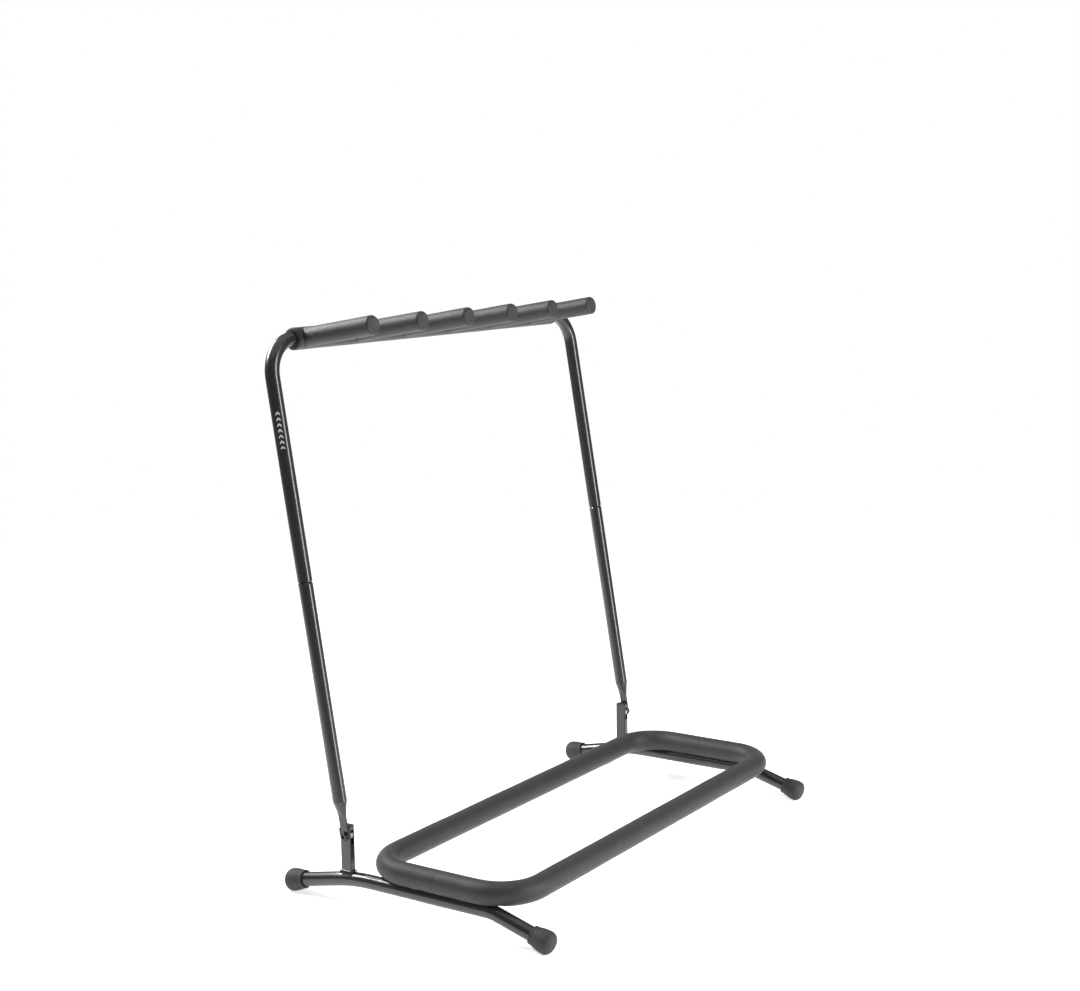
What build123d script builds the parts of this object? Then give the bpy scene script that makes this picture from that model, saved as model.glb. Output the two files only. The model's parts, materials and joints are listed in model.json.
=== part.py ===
from build123d import *
import os
from math import cos, radians, sin, tan

os.makedirs("parts", exist_ok=True)

# Guitar rack for five instruments. X runs along the rack, -Y is the front that
# the neck fingers point to, and Z = 0 is the floor. Millimetres and degrees.

# Overall sizes
foot_spacing = 650.0  # between the axes of the two foot tubes
overall_depth = 414.0  # front of the rubber feet to the back of the padded crossbar
pivot_height = 89.0  # fold pivots above the floor
upright_reach = 613.0  # pivot to crossbar axis, measured along the upright
lean = 9.2  # the uprights lean back by this angle

# Steel tube
tube_radius = 9.0
tube_wall = 1.5

# Feet: arched tubes that run front to back
foot_height = 34.5  # tube axis along the level middle
foot_front_slope = 15.6
foot_rear_slope = 12.0
foot_rear_reach = 96.0  # pivot to the rear end of the tube
foot_front_bend = 60.0
foot_rear_bend = 260.0

# Rubber caps on the foot ends
cap_wall = 2.2
cap_swell = 3.0  # the closed end is this much fatter than the lip
cap_length = 29.0
cap_end = 5.0  # rubber beyond the end of the tube
cap_round = 8.5
cap_lip_round = 1.0
sole_flat = 0.8  # height pressed flat where a cap meets the floor

# Hinge posts: box channels that stand on the feet
post_width = 9.0
post_depth = 15.5
post_wall = 1.8
post_offset = 2.5  # the post's middle is this far behind the pivot
post_rise = 11.0  # pivot axis to the open top of the post
post_corner = 1.2
window_below = 11.0  # the nut window in the front wall, from the pivot axis
window_above = 7.0
lug_thickness = 2.0
lug_round = 0.6
plug_head = 2.0
plug_chamfer = 0.5
plug_stem = 4.0
plug_play = 0.05

# Pivot bolts and what is stacked on them
pivot_radius = 3.0
pivot_play = 0.08  # running clearance of the tongue on its bolt
spacer_thickness = 0.5
side_play = 0.25
washer_thickness = 0.8
washer_radius = 6.0
button_radius = 5.2
button_height = 2.6
button_round = 1.8
socket_size = 4.0
socket_depth = 1.6
nut_across = 10.0
nut_height = 5.0
nut_collar = 1.3  # the round nylon end of the lock nut
nut_collar_step = 0.3
bolt_tail = 0.2

# Uprights: the lower end is pressed into a tongue that laps the post
tongue_thickness = 2.6
tongue_width = 10.7
tongue_length = 24.0
press_length = 20.0  # along which the round tube becomes the flat tongue
stop_gap = 0.25  # tongue to stop lug
joint_reach = 315.0  # pivot to the slip joint, along the upright
neck_rise = 2.6  # the shoulder narrows to the spigot over this height
neck_round = 0.6
spigot_length = 52.0
spigot_play = 0.06
joint_gap = 0.3
spigot_chamfer = 0.8

# Upper frame: one bent tube, a padded crossbar and the neck fingers
frame_bend = 45.0
bar_foam_radius = 14.0
finger_count = 6
finger_pitch = 98.0
first_finger = 20.0  # from the left end of the crossbar foam
finger_reach = 116.0  # crossbar axis to fingertip
rod_radius = 4.0
finger_foam_radius = 12.4
finger_end_round = 3.0
tip_radius = 9.0
tip_thickness = 7.0
tip_proud = 0.4  # beyond the foam
tip_round = 0.8
tip_socket = 4.0

# Padded base loop that carries the guitar bodies
loop_height = 55.0
loop_depth = 215.0
loop_rear_gap = 32.0  # loop axis to pivot, front to back
loop_corner = 53.0
loop_tube_radius = 8.0
loop_foam_radius = 14.6
loop_spigot = 25.0
loop_screw_pitch = 72.0
loop_screw_radius = 3.0
screw_head_radius = 4.5
screw_head_height = 3.0
screw_access_play = 0.5
screw_short = 1.0  # the screws end this far inside the rivet nuts
saddle_radius = 7.5
saddle_wrap = 2.0  # how far the saddles reach round each tube
rivet_nut_radius = 4.5
rivet_nut_headroom = 2.3  # above the nut, inside the loop tube

# Places that follow from the sizes
lean_sin = sin(radians(lean))
lean_cos = cos(radians(lean))
crossbar_y = overall_depth / 2 - bar_foam_radius
pivot_y = crossbar_y - upright_reach * lean_sin
foot_x = foot_spacing / 2
lap_stack = spacer_thickness + side_play + tongue_thickness / 2
upright_x = foot_x + post_width / 2 + lap_stack
bore_radius = tube_radius - tube_wall
cap_radius = tube_radius + cap_wall + cap_swell
up_the_lean = (0, lean_sin, lean_cos)

# The leaning plane of the uprights: its x runs along the rack, its y climbs the
# uprights from the pivots, and its normal is the way that the fingers point.
rack_plane = Plane(
    origin=(0, pivot_y, pivot_height),
    x_dir=(1, 0, 0),
    z_dir=(0, -lean_cos, lean_sin),
)


def save(piece, name):
    piece.part.label = name
    export_step(piece.part, "parts/" + name + ".step")


def up_plane(x, reach):
    """A plane square to the uprights, at a distance along them from the pivot."""
    return Plane(
        origin=(x, pivot_y + reach * lean_sin, pivot_height + reach * lean_cos),
        x_dir=(1, 0, 0),
        z_dir=up_the_lean,
    )


def side_plane(x):
    """A plane square to the pivots, its y up the lean and its x rearward."""
    return Plane(
        origin=(x, pivot_y, pivot_height),
        x_dir=(0, lean_cos, -lean_sin),
        z_dir=(1, 0, 0),
    )


def cap_support(slope):
    """How far a cap's rounded end reaches past the tube end: forward, and down."""
    neck = cap_end - cap_round
    face = cap_radius - cap_round
    forward = neck * cos(radians(slope)) + face * sin(radians(slope)) + cap_round
    down = neck * sin(radians(slope)) + face * cos(radians(slope)) + cap_round
    return forward, down


front_forward, front_down = cap_support(foot_front_slope)
rear_forward, rear_down = cap_support(foot_rear_slope)
foot_front = (-overall_depth / 2 + front_forward, front_down - sole_flat)
foot_rear = (pivot_y + foot_rear_reach, rear_down - sole_flat)
front_run = (foot_height - foot_front[1]) / tan(radians(foot_front_slope))
rear_run = (foot_height - foot_rear[1]) / tan(radians(foot_rear_slope))
foot_points = [
    foot_rear,
    (foot_rear[0] - rear_run, foot_height),
    (foot_front[0] + front_run, foot_height),
    foot_front,
]

loop_rear_y = pivot_y - loop_rear_gap
loop_front_y = loop_rear_y - loop_depth
loop_split_y = (loop_rear_y + loop_front_y) / 2
screw_places = [
    (side * foot_x, loop_split_y + end * loop_screw_pitch / 2)
    for side in (-1, 1)
    for end in (-1, 1)
]

bar_foam_half = upright_x - frame_bend
finger_places = [
    (-bar_foam_half + first_finger + i * finger_pitch, upright_reach)
    for i in range(finger_count)
]


def foot_rod(x, radius):
    """A solid rod along the arch of one foot."""
    with BuildPart() as rod:
        with BuildLine(Plane.YZ.offset(x)) as path:
            FilletPolyline(*foot_points, radius=(foot_rear_bend, foot_front_bend))
        with BuildSketch(Plane(path.line @ 0, z_dir=path.line % 0)):
            Circle(radius)
        sweep()
    return rod.part


def loop_rod(end, radius):
    """A solid rod along half of the base loop, front (-1) or rear (1)."""
    far_y = loop_front_y if end < 0 else loop_rear_y
    with BuildPart() as rod:
        with BuildLine(Plane.XY.offset(loop_height)) as path:
            FilletPolyline(
                (-foot_x, loop_split_y),
                (-foot_x, far_y),
                (foot_x, far_y),
                (foot_x, loop_split_y),
                radius=loop_corner,
            )
        with BuildSketch(Plane(path.line @ 0, z_dir=path.line % 0)):
            Circle(radius)
        sweep()
    return rod.part


# Feet, with their rubber caps
for side, side_name in ((-1, "left"), (1, "right")):
    x = side * foot_x
    with BuildPart() as foot_tube:
        add(foot_rod(x, tube_radius))
        add(foot_rod(x, bore_radius), mode=Mode.SUBTRACT)
        own_screws = [place for place in screw_places if place[0] == x]
        with BuildSketch(Plane.XY):
            with Locations(*own_screws):
                Circle(screw_head_radius + screw_access_play)
        extrude(amount=foot_height, mode=Mode.SUBTRACT)
        with BuildSketch(Plane.XY.offset(foot_height)):
            with Locations(*own_screws):
                Circle(loop_screw_radius)
        extrude(amount=2 * tube_radius, mode=Mode.SUBTRACT)
    save(foot_tube, side_name + "_foot_tube")

    for end, end_name in ((-1, "front"), (1, "rear")):
        tip = foot_front if end < 0 else foot_rear
        slope = foot_front_slope if end < 0 else foot_rear_slope
        cap_plane = Plane(
            origin=(x, tip[0], tip[1]),
            x_dir=(0, end * cos(radians(slope)), -sin(radians(slope))),
            z_dir=(1, 0, 0),
        )
        lip = cap_end - cap_length
        with BuildPart() as foot_cap:
            with BuildSketch(cap_plane):
                with BuildLine():
                    Polyline(
                        (lip, 0),
                        (lip, tube_radius + cap_wall),
                        (cap_end - 2 * cap_round, cap_radius),
                        (cap_end, cap_radius),
                        (cap_end, 0),
                        close=True,
                    )
                make_face()
            revolve(axis=Axis(cap_plane.origin, cap_plane.x_dir))
            outer_rims = foot_cap.edges().filter_by(GeomType.CIRCLE).sort_by(
                lambda edge: (edge.center() - cap_plane.origin).dot(cap_plane.x_dir)
            )
            fillet(outer_rims[-1], cap_round)
            fillet(outer_rims[0], cap_lip_round)
            with BuildSketch(Plane(cap_plane.origin, z_dir=-cap_plane.x_dir)):
                Circle(tube_radius)
            extrude(amount=cap_length, mode=Mode.SUBTRACT)
            split(bisect_by=Plane.XY, keep=Keep.TOP)
        save(foot_cap, side_name + "_" + end_name + "_foot_cap")

# Hinge posts: coped onto the feet, with a nut window in front and an outer lug
# behind the tongue that stops the upright at its lean
post_y = pivot_y + post_offset
post_top = pivot_height + post_rise
inner_width = post_width - 2 * post_wall
inner_depth = post_depth - 2 * post_wall
lug_reach = lap_stack + tongue_thickness / 2 + side_play
for side, side_name in ((-1, "left"), (1, "right")):
    x = side * foot_x
    with BuildPart() as post:
        with BuildSketch(Plane.XY.offset(foot_height)):
            with Locations((x, post_y)):
                Rectangle(post_width, post_depth)
                fillet(vertices(), radius=post_corner)
                Rectangle(inner_width, inner_depth, mode=Mode.SUBTRACT)
        extrude(amount=post_top - foot_height)
        with BuildSketch(side_plane(x + side * (post_width / 2 - post_wall / 2))):
            with Locations((tongue_width / 2 + stop_gap + lug_thickness / 2, post_rise / 2)):
                RectangleRounded(lug_thickness, post_rise, radius=lug_round)
        extrude(amount=side * (post_wall / 2 + lug_reach))
        with BuildSketch(Plane.XY.offset(pivot_height - window_below)):
            with Locations((x, post_y - post_depth / 2)):
                Rectangle(inner_width, 3 * post_wall)
        extrude(amount=window_below + window_above, mode=Mode.SUBTRACT)
        with BuildSketch(side_plane(x)):
            Circle(pivot_radius)
        extrude(amount=side * post_width, mode=Mode.SUBTRACT)
        add(foot_rod(x, tube_radius), mode=Mode.SUBTRACT)
    save(post, side_name + "_post")

    with BuildPart() as post_plug:
        with BuildSketch(Plane.XY.offset(post_top)):
            with Locations((x, post_y)):
                Rectangle(post_width, post_depth)
                fillet(vertices(), radius=post_corner)
        extrude(amount=plug_head)
        chamfer(post_plug.edges().group_by(Axis.Z)[-1], length=plug_chamfer)
        with BuildSketch(Plane.XY.offset(post_top)):
            with Locations((x, post_y)):
                Rectangle(inner_width - 2 * plug_play, inner_depth - 2 * plug_play)
        extrude(amount=-plug_stem)
    save(post_plug, side_name + "_post_plug")

# Pivot bolts, washers, nylon spacers and lock nuts, one set on each side. Each
# bolt goes through the post's outer wall into a nut held inside the post.
post_face = foot_x + post_width / 2
head_seat = post_face + lap_stack + tongue_thickness / 2 + side_play + washer_thickness
nut_seat = post_face - post_wall
shank_end = nut_seat - nut_height - bolt_tail

with BuildPart() as pivot_bolts:
    for side in (-1, 1):
        with BuildSketch(side_plane(side * shank_end)):
            Circle(pivot_radius)
        extrude(amount=side * (head_seat - shank_end))
        with BuildSketch(side_plane(side * head_seat)):
            Circle(button_radius)
        extrude(amount=side * button_height)
        rims = pivot_bolts.edges().filter_by(GeomType.CIRCLE).sort_by(Axis.X)
        fillet(rims[-1] if side > 0 else rims[0], radius=button_round)
        with BuildSketch(side_plane(side * (head_seat + button_height))):
            RegularPolygon(socket_size / 2, 6, major_radius=False)
        extrude(amount=-side * socket_depth, mode=Mode.SUBTRACT)
save(pivot_bolts, "pivot_bolts")


def rings(seat, outer, inner, thickness):
    """A ring on each pivot, its inner face at a distance from the rack's middle."""
    with BuildPart() as pair:
        for side in (-1, 1):
            with BuildSketch(side_plane(side * seat)):
                Circle(outer)
                Circle(inner, mode=Mode.SUBTRACT)
            extrude(amount=side * thickness)
    return pair


outer_washers = rings(head_seat - washer_thickness, washer_radius, pivot_radius, washer_thickness)
save(outer_washers, "pivot_washers")
spacers = rings(post_face, tongue_width / 2, pivot_radius, spacer_thickness)
save(spacers, "pivot_spacers")

hex_height = nut_height - nut_collar
with BuildPart() as lock_nuts:
    for side in (-1, 1):
        with BuildSketch(side_plane(side * nut_seat)):
            RegularPolygon(nut_across / 2, 6, major_radius=False, rotation=30 + lean)
        extrude(amount=-side * hex_height)
        with BuildSketch(side_plane(side * (nut_seat - hex_height))):
            Circle(nut_across / 2 - nut_collar_step)
        extrude(amount=-side * nut_collar)
        with BuildSketch(side_plane(side * nut_seat)):
            Circle(pivot_radius)
        extrude(amount=-side * nut_height, mode=Mode.SUBTRACT)
save(lock_nuts, "pivot_lock_nuts")

# Lower uprights: pressed tongue, round tube and a necked spigot on top
for side, side_name in ((-1, "left"), (1, "right")):
    x = side * upright_x
    tube_start = tongue_length + press_length
    with BuildPart() as upright:
        with BuildSketch(side_plane(x - tongue_thickness / 2)):
            Circle(tongue_width / 2)
            with Locations((0, tongue_length / 2)):
                Rectangle(tongue_width, tongue_length)
        extrude(amount=tongue_thickness)
        with BuildSketch(up_plane(x, tongue_length)):
            Rectangle(tongue_thickness, tongue_width)
        with BuildSketch(up_plane(x, tube_start)):
            Circle(tube_radius)
        loft()
        with BuildSketch(up_plane(x, tube_start)):
            Circle(tube_radius)
        extrude(amount=joint_reach - tube_start)
        with BuildSketch(up_plane(x, joint_reach)):
            Circle(tube_radius)
        with BuildSketch(up_plane(x, joint_reach + neck_rise)):
            Circle(bore_radius - spigot_play)
        loft()
        shoulder = upright.edges().filter_by(GeomType.CIRCLE).sort_by(Axis.Z)[-2]
        fillet(shoulder, radius=neck_round)
        with BuildSketch(up_plane(x, joint_reach + neck_rise)):
            Circle(bore_radius - spigot_play)
        extrude(amount=spigot_length - neck_rise)
        spigot_rim = upright.edges().filter_by(GeomType.CIRCLE).sort_by(Axis.Z)[-1]
        chamfer(spigot_rim, length=spigot_chamfer)
        with BuildSketch(up_plane(x, tube_start)):
            Circle(bore_radius - tube_wall)
        extrude(amount=joint_reach + spigot_length - tube_start, mode=Mode.SUBTRACT)
        with BuildSketch(side_plane(x - tongue_thickness)):
            Circle(pivot_radius + pivot_play)
        extrude(amount=2 * tongue_thickness, mode=Mode.SUBTRACT)
    save(upright, side_name + "_upright")

# Upper frame: one tube bent into a portal that plugs onto both spigots
frame_start = joint_reach + neck_rise + joint_gap
with BuildPart() as frame_tube:
    with BuildLine(rack_plane) as portal:
        FilletPolyline(
            (-upright_x, frame_start),
            (-upright_x, upright_reach),
            (upright_x, upright_reach),
            (upright_x, frame_start),
            radius=frame_bend,
        )
    with BuildSketch(Plane(portal.line @ 0, z_dir=portal.line % 0)):
        Circle(tube_radius)
        Circle(bore_radius, mode=Mode.SUBTRACT)
    sweep()
save(frame_tube, "upper_frame_tube")

bar_plane = Plane(
    origin=rack_plane.from_local_coords((-bar_foam_half, upright_reach, 0)),
    z_dir=(1, 0, 0),
)
with BuildPart() as bar_foam:
    with BuildSketch(bar_plane):
        Circle(bar_foam_radius)
        Circle(tube_radius, mode=Mode.SUBTRACT)
    extrude(amount=2 * bar_foam_half)
    with BuildSketch(rack_plane):
        with Locations(*finger_places):
            Circle(rod_radius)
    extrude(amount=2 * bar_foam_radius, mode=Mode.SUBTRACT)
save(bar_foam, "crossbar_foam")

# Fingers: a rod welded to the crossbar, a foam sleeve and a cap set in its end
for number, place in enumerate(finger_places, start=1):
    with BuildPart() as rod:
        with BuildSketch(rack_plane):
            with Locations(place):
                Circle(rod_radius)
        extrude(amount=finger_reach - tip_thickness + tip_socket)
        with BuildSketch(bar_plane):
            Circle(tube_radius)
        extrude(amount=2 * bar_foam_half, mode=Mode.SUBTRACT)
    save(rod, "finger_" + str(number) + "_rod")

    with BuildPart() as sleeve:
        with BuildSketch(rack_plane):
            with Locations(place):
                Circle(finger_foam_radius)
        extrude(amount=finger_reach - tip_proud)
        end_rim = sleeve.edges().filter_by(GeomType.CIRCLE).sort_by(Axis.Y)[0]
        fillet(end_rim, radius=finger_end_round)
        with BuildSketch(rack_plane):
            with Locations(place):
                Circle(rod_radius)
        extrude(amount=finger_reach, mode=Mode.SUBTRACT)
        with BuildSketch(rack_plane.offset(finger_reach - tip_thickness)):
            with Locations(place):
                Circle(tip_radius)
        extrude(amount=tip_thickness, mode=Mode.SUBTRACT)
        with BuildSketch(bar_plane):
            Circle(bar_foam_radius)
        extrude(amount=2 * bar_foam_half, mode=Mode.SUBTRACT)
    save(sleeve, "finger_" + str(number) + "_foam")

    with BuildPart() as tip_cap:
        with BuildSketch(rack_plane.offset(finger_reach - tip_thickness)):
            with Locations(place):
                Circle(tip_radius)
        extrude(amount=tip_thickness)
        tip_rims = tip_cap.edges().filter_by(GeomType.CIRCLE).sort_by(Axis.Y)
        fillet(tip_rims[0], radius=tip_round)
        with BuildSketch(rack_plane.offset(finger_reach - tip_thickness)):
            with Locations(place):
                Circle(rod_radius)
        extrude(amount=tip_socket, mode=Mode.SUBTRACT)
    save(tip_cap, "finger_" + str(number) + "_tip")

# Base loop: two bent half loops that plug together halfway along the sides
loop_bore = loop_tube_radius - tube_wall
for end, end_name in ((-1, "front"), (1, "rear")):
    with BuildPart() as loop_tube:
        add(loop_rod(end, loop_tube_radius))
        add(loop_rod(end, loop_bore), mode=Mode.SUBTRACT)
        if end < 0:
            for side in (-1, 1):
                sleeve_start = (side * foot_x, loop_split_y - loop_spigot, loop_height)
                with BuildSketch(Plane(sleeve_start, z_dir=(0, 1, 0))):
                    Circle(loop_bore)
                    Circle(loop_bore - tube_wall, mode=Mode.SUBTRACT)
                extrude(amount=2 * loop_spigot)
        own_places = [place for place in screw_places if (place[1] - loop_split_y) * end > 0]
        with BuildSketch(Plane.XY.offset(foot_height)):
            with Locations(*own_places):
                Circle(rivet_nut_radius)
        extrude(amount=loop_height - foot_height, mode=Mode.SUBTRACT)
    save(loop_tube, "loop_tube_" + end_name)

    with BuildPart() as loop_foam:
        add(loop_rod(end, loop_foam_radius))
        add(loop_rod(end, loop_tube_radius), mode=Mode.SUBTRACT)
        with BuildSketch(Plane.XY.offset(foot_height)):
            with Locations(*own_places):
                Circle(saddle_radius)
        extrude(amount=loop_height - foot_height, mode=Mode.SUBTRACT)
        for side in (-1, 1):
            add(foot_rod(side * foot_x, tube_radius), mode=Mode.SUBTRACT)
    save(loop_foam, "loop_foam_" + end_name)

# Loop fixings: saddles between the round tubes, and screws whose heads sit
# inside the foot tubes, reached through holes underneath
foot_top = foot_height + tube_radius
loop_bottom = loop_height - loop_tube_radius
screw_seat = foot_height + (bore_radius**2 - screw_head_radius**2) ** 0.5

with BuildPart() as saddles:
    with BuildSketch(Plane.XY.offset(foot_top - saddle_wrap)):
        with Locations(*screw_places):
            Circle(saddle_radius)
            Circle(loop_screw_radius, mode=Mode.SUBTRACT)
    extrude(amount=loop_bottom - foot_top + 2 * saddle_wrap)
    for side in (-1, 1):
        add(foot_rod(side * foot_x, tube_radius), mode=Mode.SUBTRACT)
    for end in (-1, 1):
        add(loop_rod(end, loop_tube_radius), mode=Mode.SUBTRACT)
save(saddles, "loop_saddles")

nut_drop = (loop_tube_radius**2 - rivet_nut_radius**2) ** 0.5
nut_rise = (loop_bore**2 - rivet_nut_radius**2) ** 0.5 - rivet_nut_headroom
with BuildPart() as rivet_nuts:
    with BuildSketch(Plane.XY.offset(loop_height - nut_drop)):
        with Locations(*screw_places):
            Circle(rivet_nut_radius)
            Circle(loop_screw_radius, mode=Mode.SUBTRACT)
    extrude(amount=nut_drop + nut_rise)
save(rivet_nuts, "loop_rivet_nuts")

with BuildPart() as loop_screws:
    with BuildSketch(Plane.XY.offset(screw_seat)):
        with Locations(*screw_places):
            Circle(loop_screw_radius)
    extrude(amount=loop_height + nut_rise - screw_short - screw_seat)
    with BuildSketch(Plane.XY.offset(screw_seat)):
        with Locations(*screw_places):
            Circle(screw_head_radius)
    extrude(amount=-screw_head_height)
    with BuildSketch(Plane.XY.offset(screw_seat - screw_head_height)):
        with Locations(*screw_places):
            RegularPolygon(socket_size / 2, 6, major_radius=False)
    extrude(amount=socket_depth, mode=Mode.SUBTRACT)
save(loop_screws, "loop_screws")
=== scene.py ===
import json
from math import atan2, cos, hypot, pi, radians, sin, sqrt

import bmesh
import bpy
from mathutils import Matrix, Vector, noise


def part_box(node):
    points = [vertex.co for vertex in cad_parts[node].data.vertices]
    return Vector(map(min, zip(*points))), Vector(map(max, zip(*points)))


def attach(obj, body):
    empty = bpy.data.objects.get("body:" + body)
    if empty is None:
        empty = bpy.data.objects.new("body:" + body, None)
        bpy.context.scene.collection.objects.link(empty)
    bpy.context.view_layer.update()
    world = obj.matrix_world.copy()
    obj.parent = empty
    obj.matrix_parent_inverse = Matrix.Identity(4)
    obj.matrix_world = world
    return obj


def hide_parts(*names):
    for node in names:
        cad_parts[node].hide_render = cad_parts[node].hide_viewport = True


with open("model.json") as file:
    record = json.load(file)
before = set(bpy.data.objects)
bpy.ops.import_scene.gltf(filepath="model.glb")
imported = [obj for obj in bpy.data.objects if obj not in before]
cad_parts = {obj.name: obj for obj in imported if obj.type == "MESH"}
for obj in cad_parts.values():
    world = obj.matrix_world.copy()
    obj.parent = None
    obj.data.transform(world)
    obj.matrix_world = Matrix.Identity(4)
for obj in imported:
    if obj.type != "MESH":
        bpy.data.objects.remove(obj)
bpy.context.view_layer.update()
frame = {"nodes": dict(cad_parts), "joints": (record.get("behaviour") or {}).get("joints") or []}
nodes = frame["nodes"]
mm = 0.001
print("frame loaded:", len(nodes), "nodes")


# Camera
viewpoint = {
    "azimuth": 55.945,  # degrees, from +Y towards +X
    "pitch": 8.744,
    "roll": -0.922,
    "distance": 2.3426,
    "target": (-0.0384, -0.0035, 0.4800),
    "lens": 60.10,
    "sensor": 36.0,
}


def placeCamera(s):
    turn, pitch, roll = radians(s["azimuth"]), radians(s["pitch"]), radians(s["roll"])
    forward = Vector((sin(turn) * cos(pitch), cos(turn) * cos(pitch), -sin(pitch)))
    right = Vector((cos(turn), -sin(turn), 0))
    up = right.cross(forward)
    side = right * cos(roll) + up * sin(roll)
    top = up * cos(roll) - right * sin(roll)
    data = bpy.data.cameras.new("camera")
    data.lens = s["lens"]
    data.sensor_width = s["sensor"]
    data.sensor_fit = "HORIZONTAL"
    camera = bpy.data.objects.new("camera", data)
    place = Matrix((side, top, -forward)).transposed().to_4x4()
    place.translation = Vector(s["target"]) - forward * s["distance"]
    camera.matrix_world = place
    bpy.context.scene.collection.objects.link(camera)
    bpy.context.scene.camera = camera
    return forward


viewForward = placeCamera(viewpoint)
print("camera placed")


# Shader nodes. A Socket takes part in sums, and Finish makes every other node.
class Socket:
    def __init__(self, finish, source):
        self.finish = finish
        self.source = source

    def math(self, operation, first, second):
        return self.finish.add("Math", {"operation": operation}, {0: first, 1: second})

    def __add__(self, other):
        return self.math("ADD", self, other)

    def __radd__(self, other):
        return self.math("ADD", other, self)

    def __sub__(self, other):
        return self.math("SUBTRACT", self, other)

    def __rsub__(self, other):
        return self.math("SUBTRACT", other, self)

    def __mul__(self, other):
        return self.math("MULTIPLY", self, other)

    def __rmul__(self, other):
        return self.math("MULTIPLY", other, self)

    def __gt__(self, other):
        return self.math("GREATER_THAN", self, other)

    def __lt__(self, other):
        return self.math("LESS_THAN", self, other)


class Finish:
    def __init__(self, name, constants):
        self.material = bpy.data.materials.new(name)
        self.material.use_nodes = True
        self.tree = self.material.node_tree
        self.shader = self.tree.nodes["Principled BSDF"]
        self.connect(self.shader, constants)
        self.coords = self.add("TexCoord", output="Object")

    def add(self, kind, settings=None, values=None, output=0):
        made = self.tree.nodes.new("ShaderNode" + kind)
        for key, value in (settings or {}).items():
            if key == "stops":
                ramp = made.color_ramp.elements
                while len(ramp) < len(value):
                    ramp.new(0.5)
                for stop, (place, tone) in zip(ramp, value):
                    stop.position = place
                    stop.color = (tone, tone, tone, 1)
            else:
                setattr(made, key, value)
        self.connect(made, values or {})
        return Socket(self, made.outputs[output])

    def connect(self, made, values):
        for key, value in values.items():
            if isinstance(value, Socket):
                self.tree.links.new(value.source, made.inputs[key])
            else:
                made.inputs[key].default_value = value

    def noise(self, scale, detail=2.0, rough=0.5, vector=None):
        return self.add("TexNoise", {}, {"Vector": vector or self.coords, "Scale": scale,
                                         "Detail": detail, "Roughness": rough})

    def ramp(self, value, stops):
        return self.add("ValToRGB", {"stops": stops}, {"Fac": value})

    def blend(self, factor, first, second):
        return self.add("Mix", {"data_type": "RGBA"}, {"Factor": factor, 6: first, 7: second}, output=2)

    def bump(self, layers):
        normal = None
        for height, distance, strength in layers:
            values = {"Height": height, "Distance": distance, "Strength": strength}
            if normal:
                values["Normal"] = normal
            normal = self.add("Bump", {}, values)
        return normal

    def paint(self, **looks):
        self.connect(self.shader, {key.replace("_", " "): value for key, value in looks.items()})
        return self.material


def grey(level):
    return (level, level, level, 1)


# Powder-coated steel: fine orange peel, faint dust and small scuffs
paintLook = {
    "dark": (0.0125, 0.0125, 0.0138, 1), "light": (0.021, 0.021, 0.023, 1),
    "scuff": grey(0.09), "scuffShare": 0.5,
    "roughness": 0.23, "patchRough": 0.08, "scuffRough": 0.2, "dustRough": 0.05,
    "coat": 0.45, "coatRoughness": 0.10, "gloss": 1.5,
    "peel": 900.0, "patch": 14.0, "scratch": 70.0, "dust": 350.0,
    "peelDepth": 0.00010, "dustDepth": 0.00003,
}
# A plain row of arrow marks printed on the near upright
printLook = {
    "ink": grey(0.62), "wide": 2.6 * mm, "pitch": 7 * mm, "stroke": 2.6 * mm,
    "reach": 0.505, "half": 0.023,  # its middle, measured from the pivot, and half its length
}


def printedMark(f, s):
    joints = {joint["name"]: joint for joint in frame["joints"]}
    climb = Vector(joints["frame_lift"]["axis"]).normalized()
    facing = -(viewForward - climb * viewForward.dot(climb)).normalized()
    across = climb.cross(facing)
    pivot = joints["left_fold"]["pos_m"]
    away = f.add("VectorMath", {"operation": "SUBTRACT"}, {0: f.coords, 1: pivot})

    def along(direction):
        return f.add("VectorMath", {"operation": "DOT_PRODUCT"}, {0: away, 1: direction}, output=1)

    offset = along(across)
    height = along(climb)
    spread = f.add("Math", {"operation": "ABSOLUTE"}, {0: offset})
    stripe = f.add("Math", {"operation": "FLOORED_MODULO"}, {0: height + spread, 1: s["pitch"]})
    fromMiddle = f.add("Math", {"operation": "ABSOLUTE"}, {0: height - s["reach"]})
    inside = (spread < s["wide"]) * (along(facing) > 0) * (fromMiddle < s["half"])
    return inside * (stripe < s["stroke"])


def powderCoat(name, s, printed=None):
    f = Finish(name, {"Coat Roughness": s["coatRoughness"], "IOR": s["gloss"], "Coat IOR": s["gloss"]})
    patch = f.noise(s["patch"], 3.0)
    dust = f.noise(s["dust"], 4.0, 0.65)
    worn = f.ramp(f.noise(s["scratch"], 6.0, 0.75), [(0.70, 0.0), (0.76, 1.0)])
    scuffs = worn * f.ramp(dust, [(0.52, 0.0), (0.60, 1.0)])
    base = f.blend(patch, s["dark"], s["light"])
    base = f.blend(scuffs * s["scuffShare"], base, s["scuff"])
    if printed:
        base = f.blend(printedMark(f, printed), base, printed["ink"])
    peel = f.noise(s["peel"], 2.0, 0.45)
    rough = s["roughness"] + patch * s["patchRough"]
    return f.paint(
        Base_Color=base,
        Roughness=rough + scuffs * s["scuffRough"] + dust * s["dustRough"],
        Coat_Weight=s["coat"],
        Normal=f.bump([(peel, s["peelDepth"], 0.35), (dust, s["dustDepth"], 0.3)]),
    )


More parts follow.
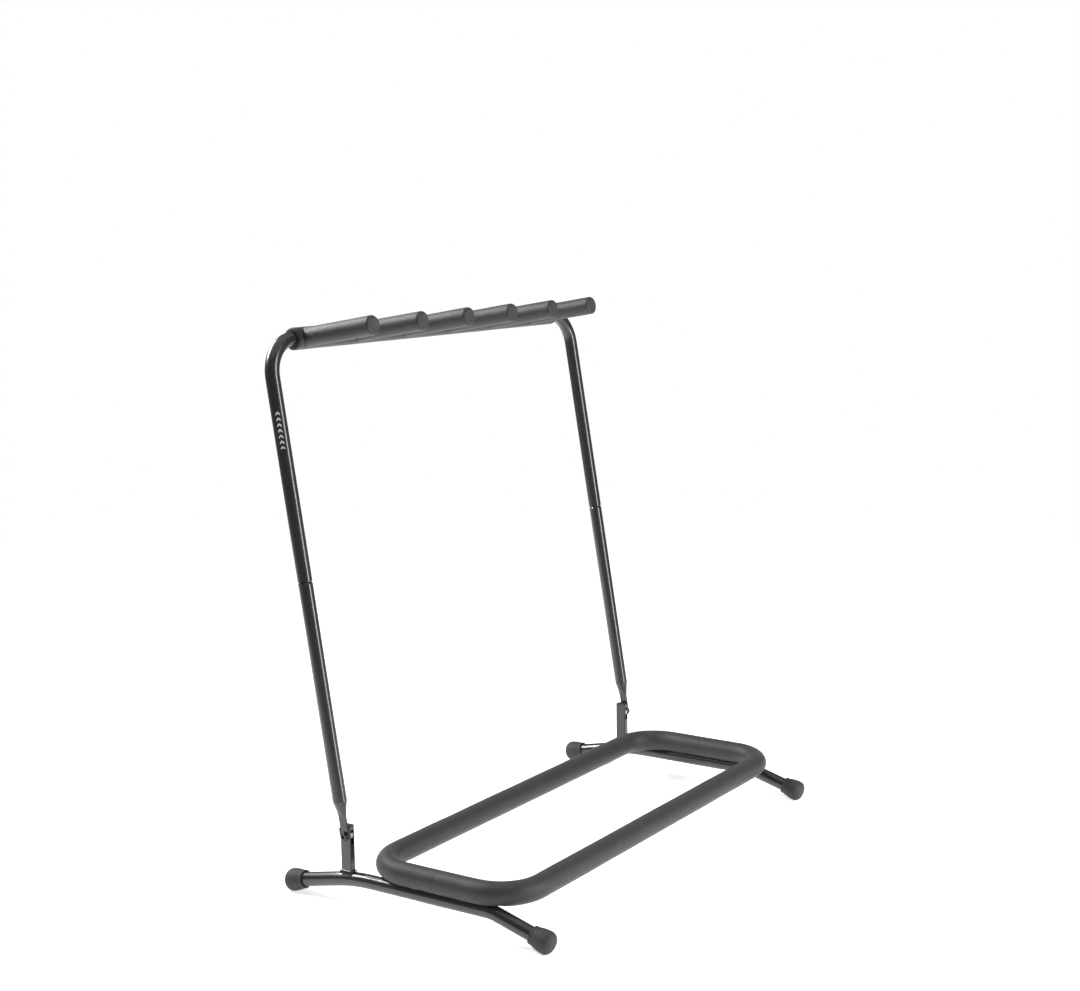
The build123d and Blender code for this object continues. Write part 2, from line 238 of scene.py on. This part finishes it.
# Closed-cell foam: fine pores, cloudy tone, a skin that scuffs lighter, and painted shade darkening the
# pore pits
foamLook = {
    "dark": (0.0205, 0.0192, 0.0212, 1), "light": (0.0340, 0.0322, 0.0352, 1),
    # pit colour: painted shade for the pore pits, not a separate foam colour
    "rubbed": grey(0.056), "rubbedShare": 0.45, "pitShade": grey(0.014), "pitShadeShare": 0.6,
    "roughness": 0.50, "cellRough": 0.14, "rubbedRough": 0.06,
    "sheen": 0.14, "sheenRoughness": 0.45, "sheenTint": grey(0.8),
    "pore": 1100.0, "cell": 420.0, "cloud": 26.0, "rub": 67.6,
    "poreDepth": 0.0003, "cellDepth": 0.0006,
}


def cellFoam(name, s):
    f = Finish(name, {"Sheen Weight": s["sheen"], "Sheen Roughness": s["sheenRoughness"],
                      "Sheen Tint": s["sheenTint"], "Specular IOR Level": 0.5})
    pores = f.add("TexVoronoi", {"feature": "F1"}, {"Vector": f.coords, "Scale": s["pore"]})
    cells = f.noise(s["cell"], 4.0, 0.6)
    cloud = f.noise(s["cloud"], 4.0, 0.6)
    rubbed = f.ramp(f.noise(s["rub"], 5.0, 0.7), [(0.56, 0.0), (0.72, 1.0)])
    base = f.blend(cloud, s["dark"], s["light"])
    base = f.blend(rubbed * s["rubbedShare"], base, s["rubbed"])
    # painted shade: the base darkens towards the bottom of each pore pit, where the bump sinks, and the
    # cell noise varies how much
    base = f.blend((1 - pores) * cells * s["pitShadeShare"], base, s["pitShade"])
    return f.paint(
        Base_Color=base,
        Roughness=s["roughness"] + cells * s["cellRough"] - rubbed * s["rubbedRough"],
        Normal=f.bump([(cells, s["cellDepth"], 0.35), (pores, s["poreDepth"], 0.35)]),
    )


# Moulded rubber and plastic
mouldedLook = {
    "dusty": grey(0.10), "dustShare": 0.3, "dustRough": 0.1, "grainRough": 0.12, "grainDepth": 0.0002,
}
rubberLook = {
    **mouldedLook, "dark": grey(0.030), "light": grey(0.044), "roughness": 0.62,
    "grain": 1500.0, "patch": 40.0, "dust": 360.0,
}
tipLook = {
    **mouldedLook, "dark": grey(0.036), "light": grey(0.048), "roughness": 0.55,
    "grain": 1300.0, "patch": 60.0, "dust": 540.0,
}
plasticLook = {
    **mouldedLook, "dark": grey(0.016), "light": grey(0.024), "roughness": 0.42,
    "grain": 1800.0, "patch": 50.0, "dust": 450.0,
}


def moulded(name, s):
    f = Finish(name, {"Specular IOR Level": 0.45})
    patch = f.noise(s["patch"], 4.0, 0.6)
    grain = f.noise(s["grain"], 3.0, 0.6)
    dust = f.ramp(f.noise(s["dust"], 5.0, 0.7), [(0.60, 0.0), (0.75, 1.0)])
    base = f.blend(patch, s["dark"], s["light"])
    base = f.blend(dust * s["dustShare"], base, s["dusty"])
    return f.paint(
        Base_Color=base,
        Roughness=s["roughness"] + grain * s["grainRough"] + dust * s["dustRough"],
        Normal=f.bump([(grain, s["grainDepth"], 0.35)]),
    )


# Fasteners: zinc-plated steel, and blackened steel for the pivots
steelLook = {
    "dark": (0.34, 0.345, 0.36, 1), "light": (0.60, 0.60, 0.61, 1),
    "tarnish": (0.16, 0.15, 0.14, 1), "tarnishShare": 0.6, "tarnishRough": 0.25,
    "roughness": 0.24, "cloud": 180.0, "spot": 420.0,
    "grain": 2400.0, "grainRough": 0.12, "grainDepth": 0.00006,
}
blackSteelLook = {
    **steelLook, "dark": (0.035, 0.035, 0.038, 1), "light": (0.075, 0.075, 0.08, 1),
    "tarnish": (0.12, 0.115, 0.11, 1), "roughness": 0.20,
}


def plated(name, s):
    f = Finish(name, {"Metallic": 1.0})
    cloud = f.noise(s["cloud"], 4.0, 0.6)
    grain = f.noise(s["grain"], 3.0, 0.6)
    tarnish = f.ramp(f.noise(s["spot"], 5.0, 0.7), [(0.58, 0.0), (0.74, 1.0)])
    base = f.blend(cloud, s["dark"], s["light"])
    base = f.blend(tarnish * s["tarnishShare"], base, s["tarnish"])
    return f.paint(
        Base_Color=base,
        Roughness=s["roughness"] + grain * s["grainRough"] + tarnish * s["tarnishRough"],
        Normal=f.bump([(grain, s["grainDepth"], 0.4)]),
    )


looks = {
    "black_paint": powderCoat("powderCoatBlack", paintLook),
    "printed": powderCoat("powderCoatPrinted", paintLook, printLook),
    "foam": cellFoam("cellFoamCharcoal", foamLook),
    "rubber_cap": moulded("mouldedRubber", rubberLook),
    "tip_cap": moulded("mouldedTip", tipLook),
    "black_plastic": moulded("mouldedPlastic", plasticLook),
    "plated_steel": plated("zincPlate", steelLook),
    "blackened": plated("blackenedSteel", blackSteelLook),
}
# these nodes look unlike the rest of their slot
ownLook = {"upper_frame_tube": "printed", "pivot_bolts": "blackened", "pivot_washers": "blackened"}
for name, node in nodes.items():
    for place in node.material_slots:
        place.material = looks[ownLook.get(name, place.material.name.split(".")[0])]
print("finishes made:", len(looks))


# Mesh helpers
def finishPiece(bm, name, body, slot, replaced):
    bmesh.ops.remove_doubles(bm, verts=bm.verts, dist=0.00001)
    bmesh.ops.recalc_face_normals(bm, faces=bm.faces)
    mesh = bpy.data.meshes.new(name)
    bm.to_mesh(mesh)
    bm.free()
    for face in mesh.polygons:
        face.use_smooth = True
    piece = bpy.data.objects.new(name, mesh)
    bpy.context.scene.collection.objects.link(piece)
    mesh.materials.append(looks[slot])
    if replaced:
        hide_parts(*replaced)
    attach(piece, body)


def onlyVerts(geometry):
    return [item for item in geometry if isinstance(item, bmesh.types.BMVert)]


def onlyEdges(geometry):
    return [item for item in geometry if isinstance(item, bmesh.types.BMEdge)]


def startRing(bm, radius, sides, place):
    made = bmesh.ops.create_circle(bm, cap_ends=False, radius=radius, segments=sides, matrix=place)
    return list({edge for vert in made["verts"] for edge in vert.link_edges})


def runRing(bm, ring, step, count):
    for _ in range(count):
        made = bmesh.ops.extrude_edge_only(bm, edges=ring)["geom"]
        bmesh.ops.translate(bm, verts=onlyVerts(made), vec=step)
        verts = set(onlyVerts(made))
        ring = [edge for edge in onlyEdges(made) if edge.verts[0] in verts and edge.verts[1] in verts]
    return ring


def turnRing(bm, ring, centre, axis, angle, steps):
    verts = list({vert for edge in ring for vert in edge.verts})
    made = bmesh.ops.spin(bm, geom=ring + verts, cent=centre, axis=axis, angle=angle, steps=steps,
                          use_duplicate=False, use_merge=False)["geom_last"]
    return onlyEdges(made)


def tubeWall(bm, radius, sides, place, moves):
    first = startRing(bm, radius, sides, place)
    ring = first
    for move in moves:
        ring = runRing(bm, ring, *move[1:]) if move[0] == "run" else turnRing(bm, ring, *move[1:])
    return first, ring


def softSleeve(bm, outer, bore, sides, place, moves, roundings):
    startOuter, endOuter = tubeWall(bm, outer, sides, place, moves)
    startBore, endBore = tubeWall(bm, bore, sides, place, moves)
    bmesh.ops.bridge_loops(bm, edges=startOuter + startBore)
    bmesh.ops.bridge_loops(bm, edges=endOuter + endBore)
    for edges, amount in zip((startOuter, endOuter), roundings):
        bmesh.ops.bevel(bm, geom=edges, offset=amount, offset_type="OFFSET", segments=4, profile=0.5,
                        affect="EDGES", material=-1)


def wobble(point, scale, amount):
    return noise.noise(point * scale) * amount


# Foam sleeves of the base loop
loopPad = {
    "corner": 53 * mm, "sides": 48, "step": 6 * mm, "cornerSteps": 15,
    "splitRound": 0.2 * mm, "boreGap": 0.1 * mm,
    "wobble": 0.25 * mm, "wobbleScale": 22.0,
    "slitAngle": radians(-140), "slitWidth": radians(5), "slitDepth": 0.9 * mm,
    "footGap": 0.15 * mm, "softness": 0.5 * mm,
}


def loopFoams(s):
    low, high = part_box("loop_foam_front")
    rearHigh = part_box("loop_foam_rear")[1]
    tubeLow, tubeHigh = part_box("loop_tube_front")
    footLow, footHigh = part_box("right_foot_tube")
    radius = (high.z - low.z) / 2
    bore = (tubeHigh.z - tubeLow.z) / 2 + s["boreGap"]
    level = (high.z + low.z) / 2
    sideX = high.x - radius
    frontY = low.y + radius
    rearY = rearHigh.y - radius
    splitY = (frontY + rearY) / 2
    footRadius = (footHigh.x - footLow.x) / 2
    footLevel = footHigh.z - footRadius
    reach = footRadius + s["footGap"]
    corner = s["corner"]

    def acrossPath(point):
        # how far outside the loop's axis line, seen from above
        cornerX = abs(point.x) - (sideX - corner)
        cornerY = abs(point.y - splitY) - ((rearY - frontY) / 2 - corner)
        outside = Vector((max(cornerX, 0), max(cornerY, 0))).length
        return outside + min(max(cornerX, cornerY), 0) - corner

    def outwards(point):
        step = 0.0005
        here = acrossPath(point)
        slopeX = acrossPath(point + Vector((step, 0, 0))) - here
        slopeY = acrossPath(point + Vector((0, step, 0))) - here
        return Vector((slopeX, slopeY, 0)).normalized()

    for end, body in ((-1, "front"), (1, "rear")):
        farY = frontY if end < 0 else rearY
        straight = abs(farY - splitY) - corner
        sideCount = max(2, round(straight / s["step"]))
        across = 2 * (sideX - corner)
        acrossCount = round(across / s["step"])
        along = Vector((0, end, 0))
        turns = [("turn", Vector((x, farY - end * corner, level)), Vector((0, 0, 1)), -end * pi / 2,
                  s["cornerSteps"]) for x in (corner - sideX, sideX - corner)]
        moves = [
            ("run", along * (straight / sideCount), sideCount),
            turns[0],
            ("run", Vector((across / acrossCount, 0, 0)), acrossCount),
            turns[1],
            ("run", -along * (straight / sideCount), sideCount),
        ]
        place = Matrix.Translation((-sideX, splitY, level)) @ Matrix.Rotation(pi / 2, 4, "X")
        bm = bmesh.new()
        softSleeve(bm, radius, bore, s["sides"], place, moves, (s["splitRound"], s["splitRound"]))
        for vert in bm.verts:
            point = vert.co.copy()
            outer = acrossPath(point)
            rise = point.z - level
            spread = hypot(outer, rise)
            if spread < (radius + bore) / 2:
                continue
            angle = atan2(rise, outer)
            grow = wobble(point, s["wobbleScale"], s["wobble"])
            slit = abs(angle - s["slitAngle"]) / s["slitWidth"]
            grow -= s["slitDepth"] * max(0, 1 - slit)
            away = (outwards(point) * outer + Vector((0, 0, rise))).normalized()
            vert.co = point + away * grow
            # pressed up by the foot tube that it lies on
            sideways = abs(vert.co.x) - sideX
            if abs(sideways) < reach and vert.co.z < level:
                lift = footLevel + sqrt(reach ** 2 - sideways ** 2) - vert.co.z
                vert.co.z += (lift + sqrt(lift ** 2 + s["softness"] ** 2)) / 2
        finishPiece(bm, "loop_pad_" + body, "base", "foam", ["loop_foam_" + body])


loopFoams(loopPad)
print("loop foam made")


# Foam sleeve of the crossbar
barPad = {
    "sides": 48, "step": 6 * mm, "endRound": 2.4 * mm, "boreGap": 0.1 * mm,
    "wobble": 0.22 * mm, "wobbleScale": 24.0,
    "slitAngle": radians(-60), "slitWidth": radians(5), "slitDepth": 0.8 * mm,
    "dent": 0.5 * mm, "dentReach": 17 * mm,
}
barLow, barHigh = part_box("crossbar_foam")
barRadius = (barHigh.y - barLow.y) / 2
barAxis = Vector((0, (barLow.y + barHigh.y) / 2, (barLow.z + barHigh.z) / 2))
fingerCount = sum(1 for name in nodes if name.startswith("finger_") and name.endswith("_tip"))


def fingerLine(number):
    # where a finger leaves the crossbar's axis, and the way it points
    low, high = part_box("finger_" + str(number) + "_rod")
    tipLow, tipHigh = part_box("finger_" + str(number) + "_tip")
    start = Vector(((low.x + high.x) / 2, barAxis.y, barAxis.z))
    middle = (tipLow + tipHigh) / 2
    aim = middle - start
    aim.x = 0
    return start, aim.normalized()


def barFoam(s):
    footLow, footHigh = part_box("left_foot_tube")  # the crossbar is the same tube
    bore = (footHigh.x - footLow.x) / 2 + s["boreGap"]
    count = round((barHigh.x - barLow.x) / s["step"])
    place = Matrix.Translation((barLow.x, barAxis.y, barAxis.z)) @ Matrix.Rotation(pi / 2, 4, "Y")
    moves = [("run", Vector(((barHigh.x - barLow.x) / count, 0, 0)), count)]
    bm = bmesh.new()
    softSleeve(bm, barRadius, bore, s["sides"], place, moves, (s["endRound"], s["endRound"]))
    lines = [fingerLine(number) for number in range(1, fingerCount + 1)]
    for vert in bm.verts:
        point = vert.co.copy()
        arm = Vector((0, point.y - barAxis.y, point.z - barAxis.z))
        if arm.length < (barRadius + bore) / 2:
            continue
        angle = atan2(arm.z, arm.y)
        grow = wobble(point, s["wobbleScale"], s["wobble"])
        grow -= s["slitDepth"] * max(0, 1 - abs(angle - s["slitAngle"]) / s["slitWidth"])
        for start, aim in lines:
            facing = arm.normalized().dot(aim)
            near = max(0, 1 - abs(point.x - start.x) / s["dentReach"])
            if facing > 0:
                grow -= s["dent"] * near * facing ** 2
        vert.co = point + arm.normalized() * grow
    finishPiece(bm, "crossbar_pad", "upper_frame", "foam", ["crossbar_foam"])


barFoam(barPad)
print("crossbar foam made")


# Fingers: a foam sleeve and a cap on each rod
fingerPad = {
    "radius": 12.3 * mm, "bore": 4.1 * mm, "sides": 40, "step": 4 * mm,
    "rootRound": 1.6 * mm, "tipRound": 3.0 * mm, "sink": 0.5 * mm,
    "pocket": 9.05 * mm, "pocketDepth": 7 * mm,
    "flare": 0.5 * mm, "flareReach": 9 * mm,
    "wobble": 0.22 * mm, "wobbleScale": 34.0,
    "slitAngle": radians(-90), "slitWidth": radians(6), "slitDepth": 0.7 * mm,
}
tipCap = {
    "radius": 9.0 * mm, "length": 7 * mm, "socket": 4.1 * mm, "socketDepth": 4 * mm,
    "rim": 0.8 * mm, "edge": 0.5 * mm, "dish": 0.3 * mm, "dishReach": 7.4 * mm, "dishEdge": 0.7 * mm,
    "sides": 56, "proud": 0.4 * mm,
}


def fingerMatrix(start, aim):
    # the piece is made along +Z with its underside towards -Y, then laid along the finger
    side = Vector((1, 0, 0))
    over = aim.cross(side)
    if over.z < 0:
        over = -over
        side = -side
    turned = Matrix((side, over, aim)).transposed().to_4x4()
    turned.translation = start
    return turned


def fingerFoam(s, number, start, aim, length):
    count = round(length / s["step"])
    first = barRadius * 0.5
    moves = [("run", Vector((0, 0, (length - first) / count)), count)]
    bm = bmesh.new()
    softSleeve(bm, s["radius"], s["bore"], s["sides"], Matrix.Translation((0, 0, first)), moves,
               (s["rootRound"], s["tipRound"]))
    seed = Vector((number * 7.3, 0, 0))
    for vert in bm.verts:
        point = vert.co.copy()
        arm = Vector((point.x, point.y, 0))
        share = (point.z - first) / (length - first)
        root = sqrt(barRadius ** 2 - min(abs(point.y), barRadius * 0.95) ** 2) - s["sink"]
        vert.co.z = root + share * (length - root)
        if arm.length < (s["radius"] + s["bore"]) / 2:
            if length - point.z < s["pocketDepth"]:
                vert.co += arm.normalized() * (s["pocket"] - arm.length)
            continue
        angle = atan2(arm.y, arm.x)
        fromRoot = vert.co.z - root
        grow = wobble(point + seed, s["wobbleScale"], s["wobble"])
        grow += s["flare"] * max(0, 1 - fromRoot / s["flareReach"]) ** 2
        grow -= s["slitDepth"] * max(0, 1 - abs(angle - s["slitAngle"]) / s["slitWidth"])
        vert.co += arm.normalized() * grow
    bmesh.ops.transform(bm, matrix=fingerMatrix(start, aim), verts=bm.verts)
    name = "finger_" + str(number)
    finishPiece(bm, name + "_pad", "upper_frame", "foam", [name + "_foam"])


def spinProfile(bm, points, sides):
    verts = [bm.verts.new((radius, 0, height)) for radius, height in points]
    edges = [bm.edges.new(pair) for pair in zip(verts, verts[1:])]
    bmesh.ops.spin(bm, geom=verts + edges, cent=(0, 0, 0), axis=(0, 0, 1), angle=2 * pi,
                   steps=sides, use_duplicate=False, use_merge=True)
    bmesh.ops.remove_doubles(bm, verts=bm.verts, dist=0.000005)


def arcPoints(centre, radius, start, end, steps):
    return [
        (centre[0] + radius * cos(radians(start + (end - start) * i / steps)),
         centre[1] + radius * sin(radians(start + (end - start) * i / steps)))
        for i in range(steps + 1)
    ]


def fingerTip(s, number, start, aim, length):
    radius, top, floor = s["radius"], s["length"], s["length"] - s["dish"]
    points = [(0, s["socketDepth"]), (s["socket"], s["socketDepth"]), (s["socket"], 0),
              (radius - s["edge"], 0), (radius, s["edge"]), (radius, top * 0.5)]
    points += arcPoints((radius - s["rim"], top - s["rim"]), s["rim"], 0, 90, 7)
    points += [(s["dishReach"], top), (s["dishReach"] - s["dishEdge"], top - s["dish"] * 0.8),
               (s["dishReach"] * 0.5, floor), (0, floor)]
    bm = bmesh.new()
    spinProfile(bm, points, s["sides"])
    bmesh.ops.transform(bm, matrix=fingerMatrix(start + aim * length, aim), verts=bm.verts)
    name = "finger_" + str(number)
    finishPiece(bm, name + "_cap", "upper_frame", "tip_cap", [name + "_tip"])


for number in range(1, fingerCount + 1):
    start, aim = fingerLine(number)
    tipLow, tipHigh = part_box("finger_" + str(number) + "_tip")
    along = [(Vector((start.x, y, z)) - start).dot(aim) for y in (tipLow.y, tipHigh.y)
             for z in (tipLow.z, tipHigh.z)]
    capStart = sum(along) / 4 - tipCap["length"] / 2
    fingerFoam(fingerPad, number, start, aim, capStart + tipCap["length"] - tipCap["proud"])
    fingerTip(tipCap, number, start, aim, capStart)
print("fingers made:", fingerCount)


# Rubber caps on the foot ends, pressed flat where they stand
footCap = {
    "slope": {"front": 15.6, "rear": 12.0}, "length": 29 * mm, "end": 5 * mm, "round": 8.5 * mm,
    "mouth": 0.6 * mm, "lip": 11.2 * mm, "lipEdge": 0.8 * mm,
    "bead": 0.5 * mm, "beadFoot": 0.4 * mm, "beadRise": 1.2 * mm, "beadLength": 2.6 * mm,
    "swellSteps": 8, "shoulder": 1.15, "sides": 64, "soleFlat": 0.8 * mm,
    "boreGap": 0.05 * mm, "spread": 0.5 * mm, "spreadReach": 5 * mm,
}


def footRubber(s, side, end):
    low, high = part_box(side + "_" + end + "_foot_cap")
    footLow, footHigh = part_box(side + "_foot_tube")
    radius = (high.x - low.x) / 2
    bore = (footHigh.x - footLow.x) / 2 + s["boreGap"]
    middle = (high.x + low.x) / 2
    slope = radians(s["slope"][end])
    way = -1 if end == "front" else 1
    neck, face = s["end"] - s["round"], radius - s["round"]
    forward = neck * cos(slope) + face * sin(slope) + s["round"]
    down = neck * sin(slope) + face * cos(slope) + s["round"]
    tipY = low.y + forward if end == "front" else high.y - forward
    back = s["end"] - s["length"]
    lip, bead, beadTop = s["lip"], s["bead"], back + s["beadLength"]
    points = [(0, 0), (bore, 0), (bore, back + s["mouth"]), (bore + s["mouth"], back),
              (lip - s["lipEdge"], back), (lip + bead * 0.4, back + s["beadFoot"]),
              (lip + bead, back + s["beadRise"]), (lip + bead, back + s["beadLength"] * 0.7),
              (lip + bead * 0.2, beadTop)]
    shoulder = s["end"] - s["shoulder"] * s["round"]
    for i in range(1, s["swellSteps"] + 1):
        share = i / s["swellSteps"]
        points.append((lip + (radius - lip) * sin(share * pi / 2),
                       beadTop + (shoulder - beadTop) * share))
    points += arcPoints((radius - s["round"], neck), s["round"], 0, 90, 10)
    points += [((radius - s["round"]) * 0.5, s["end"]), (0, s["end"])]
    bm = bmesh.new()
    spinProfile(bm, points, s["sides"])
    aim = Vector((0, way * cos(slope), -sin(slope)))
    wide = Vector((1, 0, 0))
    turned = Matrix((wide, aim.cross(wide), aim)).transposed().to_4x4()
    turned.translation = Vector((middle, tipY, down - s["soleFlat"]))
    bmesh.ops.transform(bm, matrix=turned, verts=bm.verts)
    for vert in bm.verts:
        near = max(0, 1 - max(vert.co.z, 0) / s["spreadReach"]) ** 2
        outer = min(1, abs(vert.co.x - middle) / (radius * 0.5))
        vert.co.x += s["spread"] * near * outer * (1 if vert.co.x > middle else -1)
        vert.co.z = max(vert.co.z, 0)
    name = side + "_" + end + "_foot_cap"
    finishPiece(bm, name + "_rubber", "base", "rubber_cap", [name])


for side in ("left", "right"):
    for end in ("front", "rear"):
        footRubber(footCap, side, end)
print("foot caps made")


# Weld beads where the hinge posts stand on the feet
weldBead = {
    "leg": 2.4 * mm, "rise": 2.2 * mm, "corner": 1.6 * mm, "sink": 0.4 * mm,
    "ripple": 0.16 * mm, "ripples": 22, "cuts": 9, "rows": 5,
}


def isTall(edge):
    return abs(edge.verts[0].co.z - edge.verts[1].co.z) > 0.5


def outTo(value, size):
    # -1 or 1 at a wall, and less towards the middle of the next one
    return max(-1, min(1, value / size * 2.2))


def postBead(s, side):
    plugLow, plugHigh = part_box(side + "_post_plug")  # as wide and deep as the post
    footLow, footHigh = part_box(side + "_foot_tube")
    footRadius = (footHigh.x - footLow.x) / 2
    footX = (footHigh.x + footLow.x) / 2
    footTop = footHigh.z
    width = plugHigh.x - plugLow.x
    depth = plugHigh.y - plugLow.y
    middleY = (plugLow.y + plugHigh.y) / 2
    bm = bmesh.new()
    bmesh.ops.create_cube(bm, size=1, matrix=Matrix.Diagonal((width, depth, 1, 1)))
    tall = [edge for edge in bm.edges if isTall(edge)]
    bmesh.ops.bevel(bm, geom=tall, offset=s["corner"], offset_type="OFFSET", segments=4,
                    profile=0.5, affect="EDGES", material=-1)
    # the long flat edges, not the short ones of the rounded corners
    flat = [edge for edge in bm.edges if not isTall(edge) and edge.calc_length() > 3 * mm]
    bmesh.ops.subdivide_edges(bm, edges=flat, cuts=s["cuts"], use_grid_fill=False)
    tall = [edge for edge in bm.edges if isTall(edge)]
    bmesh.ops.subdivide_edges(bm, edges=tall, cuts=s["rows"], use_grid_fill=False)
    for vert in bm.verts:
        share = vert.co.z + 0.5  # 0 at the foot tube, 1 at the top of the bead
        flatCo = Vector((vert.co.x, vert.co.y, 0))
        angle = atan2(flatCo.y, flatCo.x)
        bulge = s["leg"] * (1 - share) ** 0.8
        ripple = s["ripple"] * sin(angle * s["ripples"]) * sin(share * pi)
        away = Vector((outTo(flatCo.x, width), outTo(flatCo.y, depth), 0))
        moved = flatCo + away * (bulge + ripple)
        spread = min(abs(moved.x), footRadius * 0.98)
        ground = footTop - footRadius + sqrt(footRadius ** 2 - spread ** 2)
        height = ground - s["sink"] + share * s["rise"]
        vert.co = Vector((moved.x + footX, moved.y + middleY, height))
    finishPiece(bm, side + "_post_weld", "base", "black_paint", [])


for side in ("left", "right"):
    postBead(weldBead, side)
print("welds made")


# Floor and light
studio = {
    "floor": grey(0.80), "glow": 0.68, "floorSize": 12.0, "fadeFrom": 0.9, "fadeTo": 3.0,
    "world": 0.18, "backdrop": 1.0, "cool": (0.96, 0.97, 1.0),
    "lamps": {
        "top": {"turn": 20.0, "away": 0.2, "height": 2.7, "aim": 0.0,
                "size": (3.2, 2.6), "power": 20.0},
        "key": {"turn": -112.0, "away": 1.63, "height": 1.60, "aim": 0.05,
                "size": (1.30, 0.60), "power": 60.0},
        "side": {"turn": 66.0, "away": 2.0, "height": 0.85, "aim": 0.5,
                 "size": (0.44, 2.0), "power": 44.0},
    },
}


def softLight(name, s, colour):
    # turn is the angle to the right of the camera, seen from the rack
    back = -Vector((viewForward.x, viewForward.y, 0)).normalized()
    place = Matrix.Rotation(radians(s["turn"]), 3, "Z") @ back * s["away"] + Vector((0, 0, s["height"]))
    data = bpy.data.lights.new(name, "AREA")
    data.shape = "RECTANGLE"
    data.size, data.size_y = s["size"]
    data.energy = s["power"]
    data.color = colour
    lamp = bpy.data.objects.new(name, data)
    lamp.location = place
    lamp.rotation_euler = (Vector((0, 0, s["aim"])) - place).to_track_quat("-Z", "Y").to_euler()
    bpy.context.scene.collection.objects.link(lamp)


def paleFloor(s):
    bm = bmesh.new()
    bmesh.ops.create_grid(bm, x_segments=1, y_segments=1, size=s["floorSize"] / 2)
    mesh = bpy.data.meshes.new("floor")
    bm.to_mesh(mesh)
    bm.free()
    floor = bpy.data.objects.new("floor", mesh)
    bpy.context.scene.collection.objects.link(floor)
    f = Finish("floorPale", {"Base Color": s["floor"], "Roughness": 0.9, "Specular IOR Level": 0.1,
                             "Emission Color": grey(1.0), "Emission Strength": s["glow"]})
    away = f.add("VectorMath", {"operation": "LENGTH"}, {0: f.coords}, output=1)
    fade = f.add("MapRange", {"interpolation_type": "SMOOTHSTEP"},
                 {"Value": away, "From Min": s["fadeFrom"], "From Max": s["fadeTo"],
                  "To Min": 1.0, "To Max": 0.0})
    mesh.materials.append(f.paint(Alpha=fade))


def paleWorld(s):
    world = bpy.data.worlds.new("studio")
    bpy.context.scene.world = world
    world.use_nodes = True
    tree = world.node_tree
    light = tree.nodes["Background"]
    light.inputs["Color"].default_value = (*s["cool"], 1)
    light.inputs["Strength"].default_value = s["world"]
    backdrop = tree.nodes.new("ShaderNodeBackground")
    backdrop.inputs["Color"].default_value = grey(s["backdrop"])
    rays = tree.nodes.new("ShaderNodeLightPath")
    mix = tree.nodes.new("ShaderNodeMixShader")
    tree.links.new(rays.outputs["Is Camera Ray"], mix.inputs["Fac"])
    tree.links.new(light.outputs[0], mix.inputs[1])
    tree.links.new(backdrop.outputs[0], mix.inputs[2])
    tree.links.new(mix.outputs[0], tree.nodes["World Output"].inputs["Surface"])


for name, lamp in studio["lamps"].items():
    softLight(name, lamp, studio["cool"])
paleFloor(studio)
paleWorld(studio)
bpy.context.scene.view_settings.view_transform = "Standard"
print("studio made")
